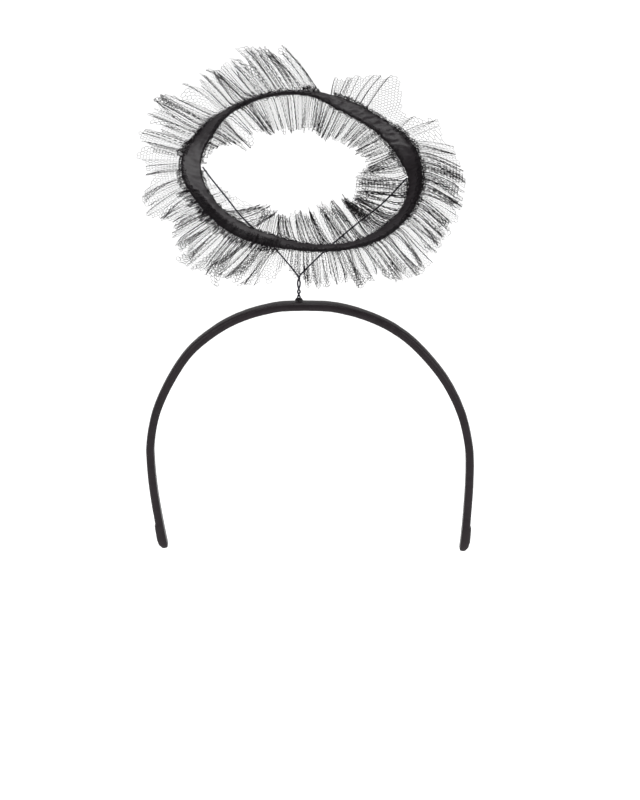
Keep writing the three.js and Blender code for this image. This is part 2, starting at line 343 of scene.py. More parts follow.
# The tongues that the gathered tulle falls into, each from its angle to the next row's. fullness: length of
# cloth for each length of ribbon. fold: cloth in one fold, in millimetres. squeeze: share by which the tongue
# narrows towards its cut edge. lift: degrees out of line with its neighbours. lean: degrees by which its
# folds run on round the ring. heading: how much net is bunched up at the seam there.
OUTER_TONGUES = np.array([
    # angle, fullness, fold, squeeze, lift, lean, heading
    [86, 5.4, 3.5, 0.2, 0, 16, 2.4],
    [95, 8.4, 2.8, 0.15, 4, 11, 0.9],
    [108, 8, 3.5, 0.3, -3, 9, 0.6],
    [118, 5.2, 5.6, 0.15, 3, 8, 0.5],
    [124, 6.2, 3.5, 0.65, -3, 4, 0.6],
    [133, 4, 4.2, 0.3, 4, 6, 0.8],
    [139, 3.6, 6.3, 0.25, -4, 8, 1],
    [148, 5, 3.5, 0.7, 3, 4, 1.4],
    [152, 5.6, 3.5, 0.12, -2, 1, 1.3],
    [162, 3.6, 4.9, 0.3, 3, 0, 1.5],
    [168, 4.6, 3.5, 0.7, -3, 0, 1.8],
    [174, 4.2, 3.5, 0.8, 4, 0, 1.8],
    [181, 3, 3.5, 0.6, 0, 0, 1.2],
    [185, 4.6, 3.5, 0.4, 5, 6, 1.2],
    [192, 3.6, 3.5, 0.2, -3, 9, 1.8],
    [208, 3.6, 3.5, 0.8, 0, 5, 3],
    [219, 8.4, 3.5, 0.25, 5, 2, 3.8],
    [234, 7, 3.5, 0.15, -2, 0, 3],
    [247, 8.2, 3.5, 0.1, 2, -4, 4.4],
    [263, 2.8, 4.9, 0.1, 0, 0, 1],
    [269, 8.8, 2.6, 0.1, 0, 1, 0.9],
    [277, 8.4, 3, 0.2, -2, 0, 0.9],
    [285, 6.5, 3.5, 0.3, 2, 0, 0.7],
    [292, 9, 3.5, 0.75, 4, 0, 0.7],
    [297, 7.4, 3.5, 0.2, -3, 0, 0.6],
    [303, 8, 3.8, 0.2, 2, 0, 0.6],
    [314, 6.5, 4.2, 0.2, -2, -3, 0.6],
    [326, 5, 4.2, 0.4, 0, -4, 0.9],
    [332, 9, 3.5, 0.2, 3, -8, 1.5],
    [341, 9.4, 3.5, 0.3, -2, -8, 1.6],
    [350, 9.2, 3.5, 0.3, 3, -9, 1.6],
    [361, 9, 4.2, 0.35, -2, -10, 1.5],
    [371, 6.5, 4.2, 0.35, 2, -15, 1.3],
    [382, 3.2, 4.2, 0.8, 3, -15, 1.4],
    [392, 2.2, 4.2, 0.8, -2, 0, 1.4],
    [400, 2, 4.2, 0.8, 5, 0, 1.5],
    [405, 1.3, 16, 0.05, 0, 0, 1.2],
    [422, 2.8, 14, 0.4, -3, 0, 1.3],
    [430, 2, 6.3, 0.2, 0, 0, 1.3],
    [435, 4.2, 4.2, 0.5, 4, 0, 1.4],
    [442, 4.2, 4.2, 0.5, 4, 0, 1.4],
])

INNER_BACK_TONGUES = np.array([
    # angle, fullness, fold, squeeze, lift, lean, heading
    [13, 3.4, 4.2, -0.4, 0, 2, 0.5],
    [21, 8.4, 2.8, 0.2, -3, 0, 1.8],
    [32, 6.2, 3.5, 0.2, 3, 0, 1],
    [48, 5.5, 4.2, 0.2, -3, 0, 0.4],
    [61, 4.4, 4.2, 0.15, 2, 0, 0.4],
    [72, 7.5, 2.8, 0.15, -2, 0, 0.5],
    [90, 3.4, 4.2, 0.15, 2, 0, 0.4],
    [103, 3.4, 4.2, 0.2, -2, 0, 0.4],
    [116, 3.2, 4.2, 0.2, 2, 0, 0.5],
    [129, 8, 3.5, 0.5, -3, -3, 0.8],
    [138, 2, 5.6, 0.5, 2, 0, 0.5],
    [149, 4.2, 4.2, 0.45, -4, 6, 0.5],
    [160, 9, 2.8, 0.1, 3, 9, 0.5],
    [176, 3.4, 3.5, 0.1, 0, 4, 0.4],
    [187, 2.4, 3.5, 0.1, 0, 0, 0.4],
])

INNER_FRONT_TONGUES = np.array([
    # angle, fullness, fold, squeeze, lift, lean, heading
    [193, 2, 3.5, 0.1, 0, 0, 0.4],
    [222, 5, 3.5, 0.55, 4, 22, 0.4],
    [235, 3.2, 4.2, 0.4, -4, 15, 0.4],
    [246, 3.4, 4.9, 0.2, 2, -6, 0.4],
    [260, 8, 3.5, 0.35, -3, -14, 0.4],
    [273, 5, 4.2, 0.15, 3, -11, 0.4],
    [284, 8, 3.5, 0.2, -2, -10, 0.4],
    [294, 8.4, 3.5, 0.2, 2, -4, 0.5],
    [303, 9, 3.5, 0.2, -2, 2, 0.5],
    [312, 9.6, 2.8, 0.25, 2, 6, 0.5],
    [322, 9.6, 2.8, 0.1, -2, 3, 0.6],
    [335, 7, 3.5, 0.5, 4, -2, 0.4],
    [342, 5, 3.5, 0.75, -3, 0, 0.6],
    [348, 6, 3.5, 0.75, 3, 0, 0.7],
    [355, 8, 3.5, 0.75, -3, 3, 0.7],
    [362, 9, 3.5, -0.5, 3, 6, 0.8],
    [371, 9, 3.5, -0.5, 3, 6, 0.8],
])

# The pieces of tulle. side: 1 outside the ring and -1 inside it. from, to: the degrees that it covers.
TULLE = (
    # name, side, shape, tongues, from, to, node, seed
    ("outer_tulle_back", 1, OUTER, OUTER_TONGUES, 86, 181, "outer_ruffle", 11),
    ("outer_tulle_left", 1, OUTER, OUTER_TONGUES, 181, 262, "outer_ruffle", 15),
    ("outer_tulle_front", 1, OUTER, OUTER_TONGUES, 262, 345, "outer_ruffle", 12),
    ("outer_tulle_right", 1, OUTER, OUTER_TONGUES, 345, 442, "outer_ruffle", 16),
    ("inner_tulle_back", -1, INNER_BACK, INNER_BACK_TONGUES, 13, 187, "inner_ruffle_back", 13),
    ("inner_tulle_front", -1, INNER_FRONT, INNER_FRONT_TONGUES, 193, 303, "inner_ruffle_front", 14),
    ("inner_tulle_right", -1, INNER_FRONT, INNER_FRONT_TONGUES, 303, 371, "inner_ruffle_front", 17),
)


def length_property(name, description, default):
    """A size in metres that can be set in the panel."""
    return FloatProperty(name=name, description=description, default=default, unit="LENGTH",
                         subtype="DISTANCE")


def angle_property(name, description, degrees):
    """An angle that can be set in the panel."""
    return FloatProperty(name=name, description=description, default=radians(degrees), subtype="ANGLE")


def colour_property(name, description, default):
    """A colour that can be set in the panel."""
    return FloatVectorProperty(name=name, description=description, default=default, size=3, subtype="COLOR",
                               min=0, max=1)


class BandSizes(bpy.types.PropertyGroup):
    """Sizes of the band that sits on the head"""

    half_span: length_property(
        "Half Span", "From the middle to the band's centre line where it is widest", 0.0785
    )
    left_drop: length_property("Left Drop", "From the top of the centre line to the left end", 0.1205)
    right_drop: length_property("Right Drop", "From the top of the centre line to the right end", 0.122)
    width: length_property("Width", "Front to back", 0.012)
    thickness: length_property("Thickness", "Core and satin together", 0.0041)
    end_fold: length_property("End Fold", "Length over which the satin is folded over at each end", 0.012)
    pucker: length_property("Pucker", "Height of the puckers along the band's edges", 0.00022)


class StemSizes(bpy.types.PropertyGroup):
    """Sizes of the two wires and of the bound root that they stand in"""

    offset: length_property("Offset", "Place of the stem along X", -0.0054)
    length: length_property("Length", "From the foot of the wires to the fork", 0.0118)
    wire_diameter: length_property("Wire Diameter", "Painted wire", 0.0008)
    wire_gap: length_property("Wire Gap", "Between the two twisted wires", 0.0004)
    root_diameter: length_property("Root Diameter", "Across the bound root", 0.004)
    root_height: length_property("Root Height", "Height of the bound root", 0.0014)
    foot_height: length_property("Foot Height", "Height of the wires' foot", 0.00437)
    left_angle: angle_property("Left Wire", "Where the left wire is sewn to the ring", 190)
    right_angle: angle_property("Right Wire", "Where the right wire is sewn to the ring", 12)


class RingSizes(bpy.types.PropertyGroup):
    """Size and place of the ring and its ribbon"""

    radius: length_property("Radius", "Mean radius of the ribbon's centre line", 0.0542)
    height: length_property("Height", "Height of the ring's centre", 0.0682)
    offset: length_property("Offset", "Place of the ring's centre along X", -0.0029)
    pitch: angle_property("Pitch", "The front of the ring is low", 35.7)
    roll: angle_property("Roll", "The right side of the ring is low", 8.4)
    width: length_property("Ribbon Width", "Across the ribbon", 0.0098)
    thickness: length_property("Ribbon Thickness", "Through the folded ribbon", 0.0016)
    wrinkle: length_property("Wrinkles", "Height of the ribbon's wrinkles", 0.0003)


class TulleSizes(bpy.types.PropertyGroup):
    """Sizes of the net and of its gathers"""

    half_width: length_property("Half Width", "From the gathered middle to the cut edge", 0.026)
    cell: length_property("Cell", "Across one hexagon of the net", 0.0017)
    thread: length_property("Thread", "Thickness of the net's threads", 0.0002)
    tuck: length_property("Tuck", "How far the tulle reaches in under the ribbon's edge", 0.0008)
    seam_gap: length_property("Seam Gap", "Between the ribbon's edge and the tulle", 0.0003)
    comb: FloatProperty(name="Comb", description="How far the folds at the ring's sides lean to the front",
                        default=0.95)
    heading: length_property("Heading", "Width of the net that is bunched along the ribbon's edges", 0.0122)
    heading_reach: length_property(
        "Heading Reach", "How far the bunched net spreads where there is much of it", 0.0085
    )
    heading_fullness: FloatProperty(name="Heading Fullness", description="Length of bunched net for each "
                                    "length of ribbon", default=1.8, min=1)


class Finishes(bpy.types.PropertyGroup):
    """Colours of the materials, and where the camera looks from"""

    band_satin: colour_property("Band Satin", "Satin of the band", (0.0085, 0.0064, 0.0075))
    ring_satin: colour_property("Ring Satin", "Satin of the ring's ribbon", (0.0066, 0.0053, 0.0062))
    tulle: colour_property("Tulle", "Thread of the net", (0.006, 0.0048, 0.0058))
    wire: colour_property("Wire", "Paint of the wires", (0.005, 0.005, 0.011))
    floor: colour_property("Floor", "Floor and backdrop", (0.9, 0.9, 0.9))
    aim_height: length_property("Aim Height", "Height that the camera looks at", -0.04493)
    distance: length_property("Distance", "From the camera to the point that it looks at", 2.2)


GROUPS = {
    "halo_band": BandSizes,
    "halo_stem": StemSizes,
    "halo_ring": RingSizes,
    "halo_tulle": TulleSizes,
    "halo_finishes": Finishes,
}


# Curves and tables

def table_value(table, column, key):
    """A column of a table at a key, between two rows in proportion."""
    return np.interp(key, table[:, 0], table[:, column])


def ribbon_value(column, angle):
    """A column of the ribbon's table at any angle, through a smooth closed curve."""
    values = RIBBON[:, column]
    rows = len(values)
    place = np.mod(angle, 360) * rows / 360
    at = np.floor(place).astype(int)
    t = place - at
    p, q, r, s = (values[(at + k) % rows] for k in (-1, 0, 1, 2))
    bend = 2 * p - 5 * q + 4 * r - s + t * (3 * q - p - 3 * r + s)
    return q + t / 2 * (r - p + t * bend)


def directions(path):
    """The direction of a path at each of its points."""
    direction = np.gradient(path, axis=0)
    return direction / np.linalg.norm(direction, axis=1)[:, None]


def smooth_path(points, steps):
    """A smooth curve through points, at equal distances or at given shares of its length.

    Gives its places, the direction at each of them and its length.
    """
    points = np.asarray(points, dtype=float)
    ends = 2 * points[[0, -1]] - points[[1, -2]]
    knots = np.vstack([ends[0], points, ends[1]])
    gaps = np.sqrt(np.linalg.norm(np.diff(knots, axis=0), axis=1))
    t = np.linspace(0, 1, CURVE_STEPS, endpoint=False)[:, None]
    pieces = []
    for i in range(1, len(knots) - 2):
        a, b, c, d = knots[i - 1 : i + 3]
        before, own, after = gaps[i - 1 : i + 2]
        leave = (b - a) / before - (c - a) / (before + own) + (c - b) / own
        arrive = (c - b) / own - (d - b) / (own + after) + (d - c) / after
        leave, arrive = leave * own, arrive * own
        pieces.append(
            b + leave * t + (3 * (c - b) - 2 * leave - arrive) * t**2 + (2 * (b - c) + leave + arrive) * t**3
        )
    pieces.append(points[-1:])
    line = np.vstack(pieces)
    distance = np.concatenate([[0], np.cumsum(np.linalg.norm(np.diff(line, axis=0), axis=1))])
    wanted = np.linspace(0, distance[-1], steps) if np.isscalar(steps) else np.asarray(steps) * distance[-1]
    path = np.stack([np.interp(wanted, distance, line[:, k]) for k in range(3)], axis=1)
    return path, directions(path), distance[-1]


def ripple(a, b, sharpness=2.0):
    """Wrinkles between 0 and 1 at a place on a cloth, in wrinkle lengths."""
    return (1 - abs(noise.noise(Vector((a, b, 0.37))))) ** sharpness


# Meshes

def grid_mesh(points, closed_across, closed_along):
    """A surface through rows of points, shape (rows, points in a row, 3), from a grid bent to them."""
    rows, count = points.shape[:2]
    if closed_across:
        points = np.concatenate([points, points[:, :1]], axis=1)
    if closed_along:
        points = np.concatenate([points, points[:1]], axis=0)
    bm = bmesh.new()
    bmesh.ops.create_grid(bm, x_segments=points.shape[1] - 1, y_segments=points.shape[0] - 1, size=1)
    steps = np.linalg.norm(np.diff(points, axis=0), axis=2).mean(axis=1)
    along = np.concatenate([[0], np.cumsum(steps)])
    around = np.linalg.norm(np.diff(points, axis=1), axis=2).mean(axis=0)
    across = np.concatenate([[0], np.cumsum(around)])
    width = points.shape[1]
    flat = points.reshape(-1, 3)
    uv = bm.loops.layers.uv.new("cloth")
    for face in bm.faces:
        for loop in face.loops:
            row, column = divmod(loop.vert.index, width)
            loop[uv].uv = (along[row], across[column])
    for vert, place in zip(bm.verts, flat):
        vert.co = place
    bmesh.ops.remove_doubles(bm, verts=bm.verts, dist=1e-6)
    if closed_across and not closed_along:
        open_edges = [edge for edge in bm.edges if edge.is_boundary]
        bmesh.ops.holes_fill(bm, edges=open_edges, sides=0)
    bmesh.ops.recalc_face_normals(bm, faces=bm.faces)
    return bm


def add_piece(name, bm, material, nodes=(), smooth=True):
    """Turns a bmesh into a finished piece of the object."""
    mesh = bpy.data.meshes.new(name)
    bm.to_mesh(mesh)
    bm.free()
    if smooth:
        mesh.shade_smooth()
    mesh.materials.append(material)
    made = bpy.data.objects.new(name, mesh)
    bpy.context.scene.collection.objects.link(made)
    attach(made, "root")
    if nodes:
        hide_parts(*nodes)
    return made


# Materials

def new_material(name, **constants):
    """A material with a Principled shader whose plain values are set on its own sockets."""
    material = bpy.data.materials.new(name)
    material.use_nodes = True
    shader = material.node_tree.nodes["Principled BSDF"]
    for socket, value in constants.items():
        shader.inputs[socket.replace("_", " ").title().replace("Ior", "IOR")].default_value = value
    return material, material.node_tree, shader


def add_node(tree, kind, links=None, **settings):
    """A node with its values set, and its inputs linked to other nodes' outputs."""
    node = tree.nodes.new("ShaderNode" + kind)
    for key, value in settings.items():
        if key in node.inputs:
            node.inputs[key].default_value = value
        else:
            setattr(node, key, value)
    for socket, source in (links or {}).items():
        tree.links.new(source, node.inputs[socket])
    return node


def uneven_colour(tree, shader, factor, colour, times):
    """Colours a surface between a tone and some times that tone, by a factor from 0 to 1."""
    ramp = add_node(tree, "ValToRGB", {"Fac": factor})
    ramp.color_ramp.elements[0].color = (*colour, 1)
    ramp.color_ramp.elements[1].color = (*(min(1.0, times * part) for part in colour), 1)
    tree.links.new(ramp.outputs["Color"], shader.inputs["Base Color"])


def uneven_gloss(tree, shader, factor, low, high):
    """Makes a surface as rough as between two values, by a factor from 0 to 1."""
    gloss = add_node(tree, "MapRange", {"Value": factor}, **{"To Min": low, "To Max": high})
    tree.links.new(gloss.outputs["Result"], shader.inputs["Roughness"])


def add_relief(tree, shader, height, strength, distance):
    """Gives a surface small relief, and returns it for more relief on top."""
    bump = add_node(tree, "Bump", {"Height": height}, Strength=strength, Distance=distance)
    tree.links.new(bump.outputs["Normal"], shader.inputs["Normal"])
    return bump


def satin_material(name, colour, roughness, shine):
    """Black satin: a fine weave along the cloth, with a soft sheen and slightly uneven gloss."""
    material, tree, shader = new_material(name, specular_ior_level=shine)
    cloth = add_node(tree, "UVMap", uv_map="cloth").outputs["UV"]
    place = add_node(tree, "TexCoord").outputs["Object"]
    uneven = add_node(tree, "TexNoise", {"Vector": place}, Scale=160.0, Detail=3.0)
    weave = add_node(tree, "TexWave", {"Vector": cloth}, wave_type="BANDS", bands_direction="Y", Scale=900.0,
                     Distortion=1.5, Detail=1.0)
    threads = add_node(tree, "TexWave", {"Vector": cloth}, wave_type="BANDS", bands_direction="DIAGONAL",
                       Scale=520.0, Distortion=0.8)
    uneven_colour(tree, shader, uneven.outputs["Fac"], colour, 2.2)
    uneven_gloss(tree, shader, uneven.outputs["Fac"], roughness - 0.08, roughness + 0.12)
    under = add_relief(tree, shader, weave.outputs["Fac"], 0.25, 0.00005)
    over = add_relief(tree, shader, threads.outputs["Fac"], 0.2, 0.00004)
    tree.links.new(under.outputs["Normal"], over.inputs["Normal"])
    return material


def tulle_material(colour):
    """Nylon thread: dull, with small changes of tone from thread to thread."""
    material, tree, shader = new_material("tulle_thread", roughness=0.7, specular_ior_level=0.15)
    place = add_node(tree, "TexCoord").outputs["Object"]
    tone = add_node(tree, "TexNoise", {"Vector": place}, Scale=900.0, Detail=2.0)
    uneven_colour(tree, shader, tone.outputs["Fac"], colour, 2.6)
    twist = add_node(tree, "TexWave", {"Vector": place}, Scale=2500.0, Distortion=2.0)
    add_relief(tree, shader, twist.outputs["Fac"], 0.3, 0.00002)
    return material


def wire_material(colour):
    """Painted wire: smooth dark paint with a few dull spots."""
    material, tree, shader = new_material("wire_paint", specular_ior_level=0.3)
    place = add_node(tree, "TexCoord").outputs["Object"]
    spots = add_node(tree, "TexNoise", {"Vector": place}, Scale=1400.0, Detail=3.0)
    uneven_colour(tree, shader, spots.outputs["Fac"], colour, 3.0)
    uneven_gloss(tree, shader, spots.outputs["Fac"], 0.22, 0.42)
    add_relief(tree, shader, spots.outputs["Fac"], 0.2, 0.00003)
    return material


# The ring's own frame

def ring_matrix(ring):
    """Where the ring stands: it tips to the front, then to the right."""
    turned = Matrix.Rotation(ring.roll, 4, "Y") @ Matrix.Rotation(ring.pitch, 4, "X")
    return Matrix.Translation((ring.offset, 0, ring.height)) @ turned


def on_ring(points, ring):
    """Points of the ring's own frame, put where the ring stands."""
    matrix = np.array(ring_matrix(ring))
    return points @ matrix[:3, :3].T + matrix[:3, 3]


def ribbon_place(ring, angle, across, out):
    """A point of the ribbon: across its face and out of its face, in metres from its centre line."""
    turn = np.radians(angle)
    tilt = np.radians(ribbon_value(2, angle))
    flat = ring.radius * ribbon_value(1, angle) + across * np.cos(tilt) - out * np.sin(tilt)
    height = across * np.sin(tilt) + out * np.cos(tilt)
    return np.stack([flat * np.cos(turn), flat * np.sin(turn), height], axis=-1)


# A fold of gathered cloth at each place along it. Its direction swings to one side and back, so the cloth
# goes up a steep wall, over a turn and down another. The tighter it is gathered, the less of it lies flat
# between the walls, and where it is hardly gathered the walls lean and sink. FOLD_LEFT is the share of the
# cloth's length that is left, FOLD_BACK how far a place lies from where it would be without the fold, and
# FOLD_RISE how high it lies, both as shares of the cloth in one fold.
WALL_SWING = radians(94)
FOLD_STEPS = 120
_sharp = np.concatenate([np.geomspace(0.12, 6, 36), np.full(12, 6.0)])
_swing = np.concatenate([np.full(36, WALL_SWING), np.linspace(WALL_SWING, 0.02, 13)[1:]])
_turn = np.linspace(0, 2 * pi, FOLD_STEPS, endpoint=False) + pi / FOLD_STEPS
_slope = _swing[:, None] * np.sign(np.sin(_turn)) * np.abs(np.sin(_turn)) ** _sharp[:, None]
FOLD_LEFT = np.cos(_slope).mean(axis=1)
FOLD_BACK = np.cumsum(np.cos(_slope) - FOLD_LEFT[:, None], axis=1) / FOLD_STEPS
FOLD_RISE = np.cumsum(np.sin(_slope), axis=1) / FOLD_STEPS
FOLD_RISE -= FOLD_RISE.mean(axis=1)[:, None]


def fold_at(left, phase):
    """How far back and how high a place in a fold lies, where a share of the cloth's length is left."""
    row = np.interp(left, FOLD_LEFT, np.arange(len(FOLD_LEFT)))
    low = np.minimum(row.astype(int), len(FOLD_LEFT) - 2)
    part = row - low
    column = np.mod(phase, 1) * FOLD_STEPS
    at = column.astype(int) % FOLD_STEPS
    after = (at + 1) % FOLD_STEPS
    way = column - np.floor(column)
    found = []
    for table in (FOLD_BACK, FOLD_RISE):
        here = table[low, at] * (1 - part) + table[low + 1, at] * part
        there = table[low, after] * (1 - part) + table[low + 1, after] * part
        found.append(here * (1 - way) + there * way)
    return found


def tulle_line(sizes, ring, shape, side, angle, along, lift_more=0.0):
    """How far out, how high and how steep the tulle's middle is, at a distance from the ribbon's edge."""
    tilt = np.radians(ribbon_value(2, angle))
    start = side * tilt
    lift = np.radians(table_value(shape, 2, angle) + lift_more)
    first = start + TURNED_AT_EDGE * (lift - start)
    turned = TURN_LENGTH * sizes.half_width * table_value(shape, 1, angle)
    bend = (lift - first) / turned
    bend = np.where(np.abs(bend) < 1e-3, 1e-3, bend)
    near = np.minimum(along, turned)
    far = along - near
    slope = first + bend * near
    edge = ring.width / 2 + sizes.seam_gap
    flat = side * ring.radius * ribbon_value(1, angle) + edge * np.cos(start)
    flat = flat + (np.sin(slope) - np.sin(first)) / bend + far * np.cos(lift)
    height = edge * np.sin(start) + (np.cos(first) - np.cos(slope)) / bend + far * np.sin(lift)
    return flat, height, slope


def tulle_place(line, side, angle, rise):
    """A point of the tulle at a height over its middle."""
    flat, height, slope = line
    out = side * (flat - rise * np.sin(slope))
    turn = np.radians(angle)
    return np.stack([out * np.cos(turn), out * np.sin(turn), height + rise * np.cos(slope)], axis=-1)


def steps_between(tongues, column, angle):
    """A column of the tongues at an angle, with a short slope between one tongue and the next."""
    knots, values = [], []
    for row, after in zip(tongues[:-1], tongues[1:]):
        knots += [row[0] + TONGUE_GAP / 2, after[0] - TONGUE_GAP / 2]
        values += [row[column], row[column]]
    return np.interp(angle, knots, values)


def cut_edge_angle(tongues, angle):
    """Where a place of the ribbon has gone at the cut edge, because each tongue narrows to its middle."""
    knots, values = [], []
    for row, after in zip(tongues[:-1], tongues[1:]):
        middle = (row[0] + after[0]) / 2
        for edge in (row[0] + TONGUE_GAP / 2, after[0] - TONGUE_GAP / 2):
            knots.append(edge)
            values.append(edge - row[3] * (edge - middle))
    return np.interp(angle, knots, values)


def gather_plan(ring, tongues, start, end, seed, heading=None):
    """Where the cloth goes round the ring. Gives the cloth's length, and functions of a place along it."""
    random = np.random.default_rng(seed)
    angle = np.linspace(start, end, PLAN_STEPS)
    if heading is None:
        full = steps_between(tongues, 1, angle)
    else:
        full = np.maximum(heading * steps_between(tongues, 6, angle), HEADING_LEAST)
    step = radians(angle[1] - angle[0]) * ring.radius
    cloth = np.concatenate([[0], np.cumsum((full[1:] + full[:-1]) / 2 * step)])
    edges = [0.0]
    while edges[-1] < cloth[-1]:
        at = np.interp(edges[-1], cloth, angle)
        mean = steps_between(tongues, 2, at) * MM if heading is None else HEADING_FOLD
        share = random.lognormal(FOLD_LOG_MEAN, FOLD_LOG_SPREAD)
        edges.append(edges[-1] + mean * min(share, FOLD_LARGEST))
    edges = np.array(edges)
    folds = len(edges) - 1
    middle = (edges[1:] + edges[:-1]) / 2
    own = {
        "length": np.diff(edges),
        "sway": random.normal(0, 1, folds),
        "lift": random.normal(0, 1, folds),
        "trim": random.uniform(0, 1, folds),
        "comb": random.normal(0, 1, folds),
        "curve": random.normal(0, 1, folds),
    }
    return {
        "length": cloth[-1],
        "angle": lambda u: np.interp(u, cloth, angle),
        "fullness": lambda u: np.interp(u, cloth, full),
        "phase": lambda u: np.interp(u, edges, np.arange(folds + 1)),
        "own": lambda key, u: np.interp(u, middle, own[key]),
    }


def net_mesh(sizes, length, width, place, keep=None):
    """A hexagonal net cut from flat cloth, and the area of that cloth.

    A grid loses every second cross thread, which leaves the net's cells, and its points move apart to
    hexagons. place bends the cloth, keep says where it goes on, and the cells' edges become threads.
    """
    side = sizes.cell / 3**0.5
    columns = int(length / (sizes.cell / 2)) // 2 * 2
    rows = int(width / (1.5 * side))
    bm = bmesh.new()
    bmesh.ops.create_grid(bm, x_segments=columns, y_segments=rows, size=1)
    index = np.arange((columns + 1) * (rows + 1))
    column, row = index % (columns + 1), index // (columns + 1)
    raised = np.where((column + row) % 2 == 0, 0.25, -0.25)
    u = column * length / columns
    v = (row * 1.5 + raised) * side
    cross = [
        edge
        for edge in bm.edges
        if abs(edge.verts[0].index - edge.verts[1].index) == columns + 1
        and len(edge.link_faces) == 2
        and (column + row)[min(vert.index for vert in edge.verts)] % 2
    ]
    points = place(u, v)
    outside = set(np.flatnonzero(~keep(u, v)).tolist()) if keep else set()
    bmesh.ops.dissolve_edges(bm, edges=cross, use_verts=False)
    bm.verts.index_update()
    for vert, point in zip(bm.verts, points):
        vert.co = point
    off = [face for face in bm.faces if any(vert.index in outside for vert in face.verts)]
    cells = len(bm.faces) - len(off)
    bmesh.ops.delete(bm, geom=off, context="FACES")
    bmesh.ops.wireframe(bm, faces=bm.faces, thickness=sizes.thread, offset=0, use_replace=True,
                        use_boundary=True, use_even_offset=False)
    return bm, cells * sizes.cell * 1.5 * side


def fold_offsets(plan, u, around):
    """How far back and how high a fold lies, where the ribbon's length has grown to `around` times itself."""
    length = plan["own"]("length", u)
    back, rise = fold_at(around / plan["fullness"](u), plan["phase"](u))
    return length * back, length * rise


def add_net(name, material, sizes, plan, width, place, keep=None, nodes=()):
    """Makes a piece of net that is gathered along the ribbon."""
    bm, area = net_mesh(sizes, plan["length"], width, place, keep)
    made = add_piece(name, bm, material, nodes, smooth=False)


# Operators

class MakeBand(bpy.types.Operator):
    """Models the satin-covered band"""

    bl_idname = "halo.make_band"
    bl_label = "Band"

    def execute(self, context):
        sizes = context.scene.halo_band
        top = sizes.thickness / 2
        left = [(-row[1] * sizes.half_span, 0, top - row[0] * sizes.left_drop) for row in ARCH[::-1]]
        right = [(row[2] * sizes.half_span, 0, top - row[0] * sizes.right_drop) for row in ARCH]
        _, _, length = smooth_path(left + right, 2)
        ends = np.append(BAND_END[:, 0], 1.1) * sizes.end_fold / length
        middle = np.linspace(ends[-1], 1 - ends[-1], BAND_STEPS)[1:-1]
        shares = np.concatenate([ends, middle, 1 - ends[::-1]])
        path, along, _ = smooth_path(left + right, shares)
        out = np.stack([-along[:, 2], along[:, 1], along[:, 0]], axis=1)
        rows = []
        for centre, away, share in zip(path, out, shares):
            place = share * length
            near = min(share, 1 - share) * length / sizes.end_fold
            outer, inner, wide = (table_value(BAND_END, column, near) for column in (1, 2, 3))
            row = []
            for across, height in BAND_SECTION:
                edge = abs(across) ** 3 * min(1.0, near)
                ruck = ripple(place / BAND_PUCKER + 7 * across, across) - 0.75
                fine = noise.noise(Vector((place / BAND_FINE_PUCKER, 3 * across, 5.1)))
                rise = height * (outer if height > 0 else inner) * sizes.thickness / 2
                rise += sizes.pucker * (0.35 + edge) * ruck * (1 if height > 0 else 0.3)
                side = across * wide * sizes.width / 2 + np.sign(across) * sizes.pucker * edge * fine
                row.append(Vector(centre) + Vector(away) * rise + Vector((0, side, 0)))
            rows.append(row)
        bm = grid_mesh(np.array(rows), closed_across=True, closed_along=False)
        satin = satin_material("band_satin", tuple(context.scene.halo_finishes.band_satin), 0.4, 0.14)
        add_piece("satin_band", bm, satin, ["headband"])
        return {"FINISHED"}


class MakeRing(bpy.types.Operator):
    """Models the satin ribbon that forms the ring"""

    bl_idname = "halo.make_ring"
    bl_label = "Ring"

    def execute(self, context):
        ring = context.scene.halo_ring
        rows = []
        for angle in np.arange(0, 360, RIBBON_STEP):
            around = angle * radians(1) * ring.radius
            amount = ring.wrinkle * ribbon_value(3, angle)
            row = []
            for across, out in RIBBON_SECTION:
                slant = around + RIBBON_SLANT * across * ring.width
                ruck = ripple(slant / RIBBON_WRINKLE, 1.3 * across, 3) - 0.6
                ruck += 0.9 * ripple(slant / RIBBON_SMALL_WRINKLE, 0.8 * across + 4, 5) - 0.4
                fine = noise.noise(Vector((around / RIBBON_FINE_WRINKLE, 2 * across, 1.7)))
                side = across * ring.width / 2 + amount * abs(across) ** 4 * fine
                rise = out * (ring.thickness / 2 + amount * ruck)
                row.append(ribbon_place(ring, angle, side, rise))
            rows.append(row)
        bm = grid_mesh(on_ring(np.array(rows), ring), closed_across=True, closed_along=True)
        satin = satin_material("ring_satin", tuple(context.scene.halo_finishes.ring_satin), 0.38, 0.17)
        made = add_piece("satin_ribbon", bm, satin, ["halo_band"])
        return {"FINISHED"}


